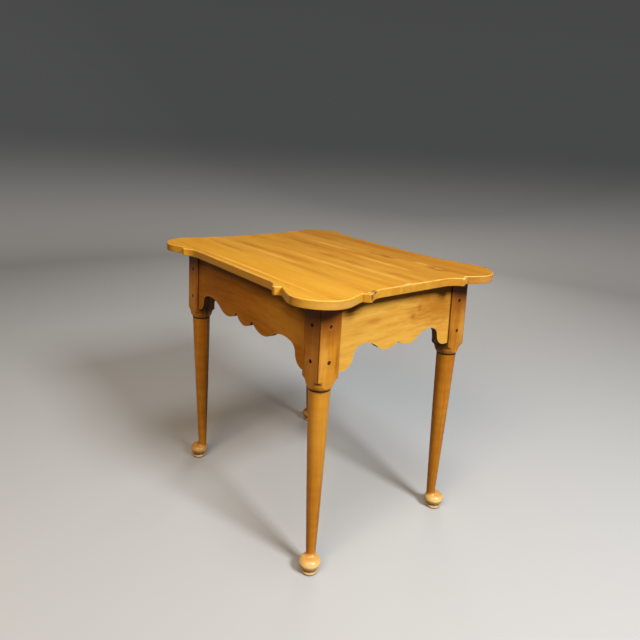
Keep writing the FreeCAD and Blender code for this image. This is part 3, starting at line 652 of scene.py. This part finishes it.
# Each board: the side and depth of its heart line, its seed, stain and marks; the pale marks on the near
# lobes' edges are end grain and a painted highlight
boards = {
    "front": ((-0.215, -0.10), 31.0, ("#E1AC3A", "#D19628", "#BA741A"), (
        ((-0.20, -0.155, 0.686), (0.18, 0.020, 0.03), dark_streak, 0.5),
        ((0.05, -0.243, 0.686), (0.40, 0.006, 0.03), light_streak, 0.6),
        ((0.05, -0.254, 0.686), (0.40, 0.005, 0.01), dark_streak, 0.5),
        ((0.345, -0.235, 0.6755), (0.080, 0.095, 0.0105), end_grain_and_highlight, 0.32),
        ((0.316, -0.285, 0.6785), (0.012, 0.007, 0.0024), edge_dash, 0.85),
        *nub_knots_and_glint,
    )),
    "second": ((-0.10, -0.07), 32.0, ("#DBA538", "#C98D26", "#B26C1A"), (
        ((-0.19, -0.095, 0.686), (0.13, 0.022, 0.03), dark_streak, 0.6),
        ((-0.06, -0.115, 0.686), (0.20, 0.010, 0.03), light_streak, 0.5),
        ((-0.01, -0.085, 0.686), (0.18, 0.024, 0.03), dark_streak, 0.45),
        ((0.12, -0.130, 0.686), (0.16, 0.014, 0.03), dark_streak, 0.4),
        ((0.10, -0.047, 0.686), (0.24, 0.012, 0.03), light_streak, 0.42),
        *nub_knots_and_glint,
    )),
    "middle": ((0.02, -0.12), 33.0, ("#D7A036", "#C38824", "#AC6818"), (
        ((0.014, 0.018, 0.686), (0.065, 0.022, 0.03), dark_streak, 0.65),
        ((0.112, 0.015, 0.686), (0.085, 0.020, 0.03), knot_brown, 0.4),
        ((0.215, -0.004, 0.686), (0.22, 0.016, 0.03), light_streak, 0.42),
        ((0.285, 0.024, 0.686), (0.10, 0.022, 0.03), dark_streak, 0.55),
        # A painted glint on the right end's arris
        ((0.337, -0.0189, 0.686), (0.005, 0.014, 0.004), painted_glint, 0.7),
    )),
    "fourth": ((0.12, -0.06), 34.0, ("#D19832", "#BB8020", "#A66416"), (
        ((-0.16, 0.072, 0.686), (0.16, 0.020, 0.03), dark_streak, 0.5),
        ((0.14, 0.083, 0.686), (0.18, 0.016, 0.03), light_streak, 0.5),
        ((-0.10, 0.115, 0.686), (0.16, 0.014, 0.03), light_streak, 0.45),
        *far_knots_and_glint,
    )),
    "back": ((0.22, -0.09), 35.0, ("#C98F2C", "#B3781C", "#A26014"), (
        ((-0.25, 0.185, 0.686), (0.15, 0.028, 0.03), dark_streak, 0.5),
        ((-0.06, 0.235, 0.686), (0.26, 0.024, 0.03), dark_streak, 0.55),
        ((0.345, 0.235, 0.6755), (0.080, 0.095, 0.0105), end_grain_and_highlight, 0.30),
        *far_knots_and_glint,
    )),
}
for name, ((side, depth), seed, colours, marks) in boards.items():
    low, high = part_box(f"top_board_{name}")
    heart = (0, side, high.z + depth)
    seams = [((0, seam, 0), (10, glue_line, 10), glaze_and_shade, seam_depth) for seam in (low.y, high.y)]
    wood = varnished_wood(f"top_board_{name}_wood", seed, heart, colours, board_ring_width, board_wander,
                          board_bands, ring_depth=0.15, marks=[*marks, *seams], wear_and_highlight=0.7, rounded=1.0,
                          gloss=0.18)
    finish_node(f"top_board_{name}", wood)

# Buttons: eight plain wooden blocks under the top, their tongues in the aprons' slots.
# They are offcuts left without stain, so they show paler than the rest.
button_colours = ("#E2BE86", "#D2A668", "#A87A44")
button_seed = 6.0
button_heart = (0, 0, 0.60)
button_ring_width = 0.004
button_wander = 0.01
button_bands = (12.0, 60.0, 60.0)
button_wood = varnished_wood("button_wood", button_seed, button_heart, button_colours, button_ring_width,
                             button_wander, button_bands)
for name in nodes:
    if name.startswith("button_"):
        finish_node(name, button_wood)

# Screws: one slotted steel screw up through each button into the top.
# They are old plain steel with round heads, dulled and browned with rust in spots.
bright_steel = "#8F8B84"
rust_brown = "#5A4232"
rust_stretch = (700, 700, 700)
screw_steel = bpy.data.materials.new("screw_steel")
screw_steel.use_nodes = True
tree = screw_steel.node_tree
skin = tree.nodes["Principled BSDF"]
place = add_node(tree, "ShaderNodeTexCoord").outputs["Object"]
rust = noise(tree, place, rust_stretch, 1.0, 4.0, 0.6)[0]
colour = mixed(tree, eased(tree, rust, 0.48, 0.72, 0.0, 0.8), tint(bright_steel), tint(rust_brown))
tree.links.new(colour, skin.inputs["Base Color"])
tree.links.new(eased(tree, rust, 0.48, 0.72, 1.0, 0.35), skin.inputs["Metallic"])
tree.links.new(eased(tree, rust, 0.35, 0.72, 0.28, 0.65), skin.inputs["Roughness"])
for name in nodes:
    if name.startswith("screw_"):
        finish_node(name, screw_steel)

# Floor and backdrop: one pale seamless sweep of painted board, round on all sides,
# so that every view has the same ground.
floor_radius = 3.4
sweep_radius = 1.0
wall_height = 3.2
floor_grey = "#C2C8CF"
wall_grey = "#747B84"
bounce_grey = "#3A3A3A"
wall_grey_height = 1.0
paint_roughness = 0.9
paint_gloss = 0.1
sweep_steps = 12
round_steps = 96
profile = [(0.0, 0.0), (floor_radius, 0.0)]
for step in range(1, sweep_steps + 1):
    turn = math.radians(90) * step / sweep_steps
    out = floor_radius + sweep_radius * math.sin(turn)
    profile.append((out, sweep_radius * (1 - math.cos(turn))))
profile.append((floor_radius + sweep_radius, wall_height))
form = bmesh.new()
spine = [form.verts.new((out, 0, up)) for out, up in profile]
spine_edges = [form.edges.new(pair) for pair in zip(spine, spine[1:])]
bmesh.ops.spin(form, geom=spine + spine_edges, cent=(0, 0, 0), axis=(0, 0, 1), angle=math.tau,
               steps=round_steps, use_merge=True)
bmesh.ops.remove_doubles(form, verts=form.verts, dist=seam_gap)
bmesh.ops.recalc_face_normals(form, faces=form.faces)
bmesh.ops.reverse_faces(form, faces=form.faces)
sweep_mesh = bpy.data.meshes.new("studio_sweep")
form.to_mesh(sweep_mesh)
form.free()
sweep_mesh.shade_smooth()
sweep = bpy.data.objects.new("studio_sweep", sweep_mesh)
bpy.context.scene.collection.objects.link(sweep)
sweep_paint = bpy.data.materials.new("studio_grey")
sweep_paint.use_nodes = True
paint_tree = sweep_paint.node_tree
paint = paint_tree.nodes["Principled BSDF"]
height = add_node(paint_tree, "ShaderNodeTexCoord").outputs["Object"]
height = add_node(paint_tree, "ShaderNodeSeparateXYZ", {0: height}).outputs["Z"]
wall_share = eased(paint_tree, height, 0.0, wall_grey_height)
painted = mixed(paint_tree, wall_share, tint(floor_grey), tint(wall_grey))
ray = add_node(paint_tree, "ShaderNodeLightPath").outputs
looked_at = calc(paint_tree, "MAXIMUM", ray["Is Camera Ray"], ray["Is Glossy Ray"])
looked_at = calc(paint_tree, "MAXIMUM", looked_at, ray["Is Transmission Ray"])
painted = mixed(paint_tree, looked_at, tint(bounce_grey), painted)
paint_tree.links.new(painted, paint.inputs["Base Color"])
paint.inputs["Roughness"].default_value = paint_roughness
paint.inputs["Specular IOR Level"].default_value = paint_gloss
sweep_mesh.materials.append(sweep_paint)

# Light: square soft boxes. The key stands beyond the right end, a weaker one hangs overhead, a warm fill
# stands in front and another behind, so that the back shows too.
# Each lamp: place, aim, side, power and colour
lamps = {
    "key": ((2.60, 0.15, 2.55), (0, 0, 0.55), 0.80, 106, (1.0, 0.97, 0.92)),
    "overhead": ((0.9, -0.3, 4.0), (0.1, 0, 0), 1.0, 36, (1.0, 0.97, 0.92)),
    "fill": ((1.3, -2.4, 2.9), (0, 0, 0.45), 1.6, 62, (1.0, 0.71, 0.43)),
    "back": ((-2.2, 2.6, 2.0), (0, 0, 0.45), 1.6, 30, (1.0, 0.86, 0.72)),
}
for name, (spot, aim, side, power, colour) in lamps.items():
    lamp = bpy.data.lights.new(name, "AREA")
    lamp.shape = "SQUARE"
    lamp.size = side
    lamp.energy = power
    lamp.color = colour
    holder = bpy.data.objects.new(name, lamp)
    holder.location = spot
    holder.rotation_euler = (Vector(aim) - Vector(spot)).to_track_quat("-Z", "Y").to_euler()
    holder.visible_glossy = name != "back"
    bpy.context.scene.collection.objects.link(holder)
room_grey = "#808080"
room_strength = 0.08
world = bpy.data.worlds.new("studio")
world.use_nodes = True
world.node_tree.nodes["Background"].inputs["Color"].default_value = tint(room_grey)
world.node_tree.nodes["Background"].inputs["Strength"].default_value = room_strength
bpy.context.scene.world = world
bpy.context.scene.view_settings.view_transform = "Standard"

# Camera: where the photograph was taken from, a little above the top and beyond its near right corner,
# held with a slight tilt.
camera_lens = 30.15
camera_shift = -1 / 640
camera_spot = Vector((1.1020, -0.8550, 0.9597))
camera_yaw = math.radians(51.718)
camera_pitch = math.radians(18.046)
camera_roll = math.radians(2.837)
camera_data = bpy.data.cameras.new("camera")
camera_data.lens = camera_lens
camera_data.shift_x = camera_shift
camera = bpy.data.objects.new("camera", camera_data)
bpy.context.scene.collection.objects.link(camera)
back = Vector((math.sin(camera_yaw) * math.cos(camera_pitch),
               -math.cos(camera_yaw) * math.cos(camera_pitch),
               math.sin(camera_pitch)))
right = (-back).cross(Vector((0, 0, 1))).normalized()
up = right.cross(-back)
tilted_right = math.cos(camera_roll) * right + math.sin(camera_roll) * up
tilted_up = -math.sin(camera_roll) * right + math.cos(camera_roll) * up
axes = Matrix((tilted_right, tilted_up, back)).transposed()
camera.matrix_world = Matrix.Translation(camera_spot) @ axes.to_4x4()
bpy.context.scene.camera = camera
